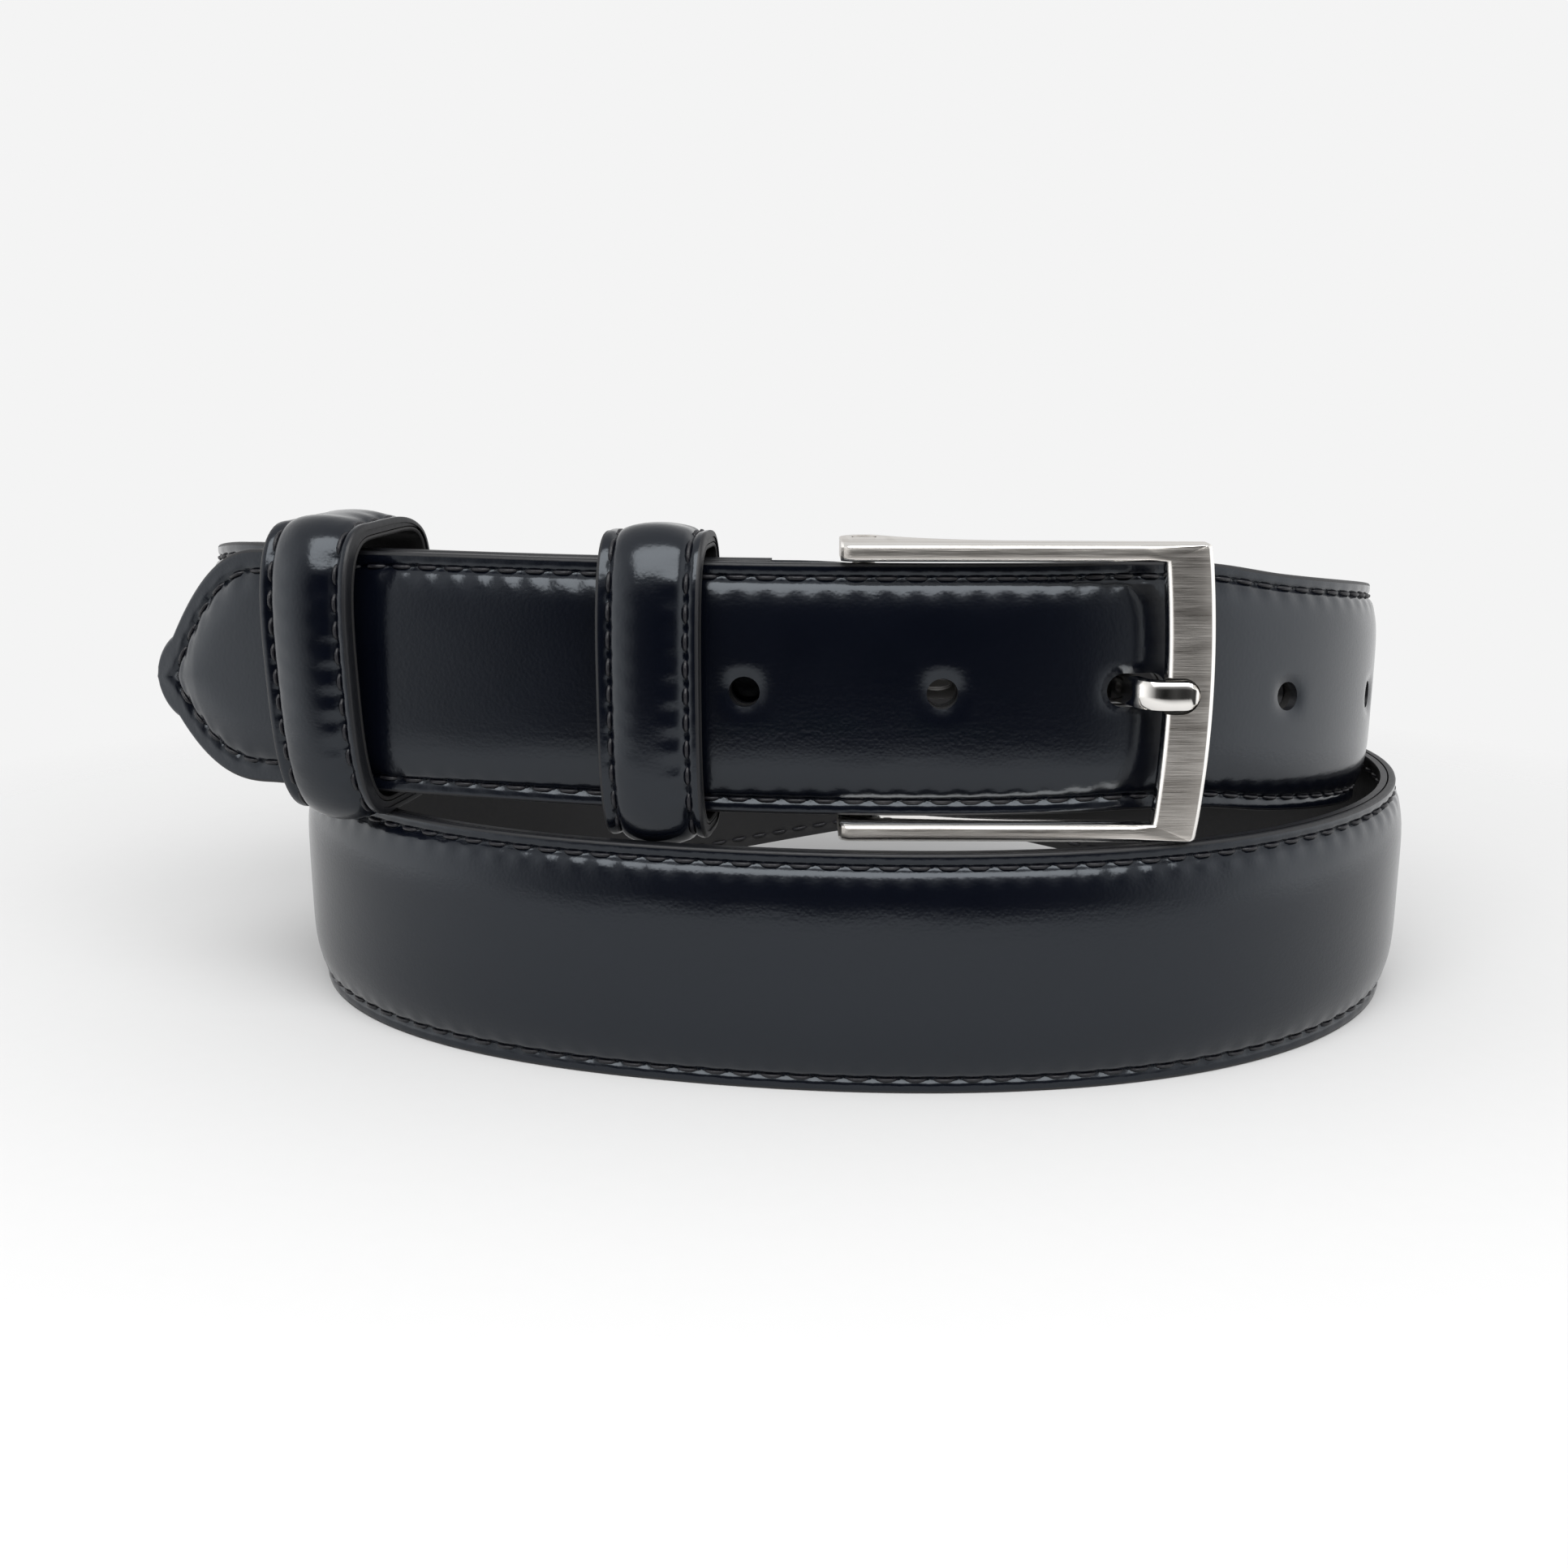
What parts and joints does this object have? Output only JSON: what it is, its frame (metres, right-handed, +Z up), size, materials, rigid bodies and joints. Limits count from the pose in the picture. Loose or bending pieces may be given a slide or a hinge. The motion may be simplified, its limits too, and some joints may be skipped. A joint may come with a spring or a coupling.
{
  "type": "dress belt",
  "caption": "Gentleman's padded leather dress belt with a rectangular brushed metal buckle, fastened and coiled in two stacked turns, standing on its edge.",
  "frame": {"origin": "under the middle of the whole coil, on the surface it stands on", "axes": "+X from the strap's tip towards the buckle's front bar, -Y out of the front where the buckle is, +Z up across the strap's width"},
  "size_m": [0.1814, 0.1094, 0.0707],
  "materials": {
    "face_leather": "glossy black calf, fine grain",
    "lining_leather": "smooth matt black lining",
    "filler": "bonded leather filler",
    "brushed_nickel": "satin brushed nickel with polished bevels",
    "polished_metal": "bright polished nickel"
  },
  "bodies": {
    "strap": {"strap_face": "face_leather", "strap_core": "filler", "strap_lining": "lining_leather", "fold_rivet_upper": "polished_metal", "fold_rivet_lower": "polished_metal", "fixed_keeper_face": "face_leather", "fixed_keeper_pad": "filler", "fixed_keeper_lining": "lining_leather"},
    "buckle": {"buckle_frame": "brushed_nickel", "pivot_bar": "brushed_nickel"},
    "tongue": {"prong": "polished_metal"},
    "sliding_keeper": {"free_keeper_face": "face_leather", "free_keeper_pad": "filler", "free_keeper_lining": "lining_leather", "free_keeper_staple": "polished_metal"}
  },
  "joints": [
    {"name": "buckle_swing", "type": "hinge", "parent": "strap", "child": "buckle", "pos_m": [0.00706, -0.04137, 0.0512], "axis": [0, 0, -1], "range_deg": [-1, 0.8]},
    {"name": "prong_swing", "type": "hinge", "parent": "buckle", "child": "tongue", "pos_m": [0.00706, -0.04137, 0.0512], "axis": [0, 0, -1], "range_deg": [0, 0.5]},
    {"name": "keeper_slide", "type": "hinge", "parent": "strap", "child": "sliding_keeper", "pos_m": [0.02165, 0.19929, 0.0507], "axis": [0, 0, 1], "range_deg": [-0.2, 6.9]}
  ]
}
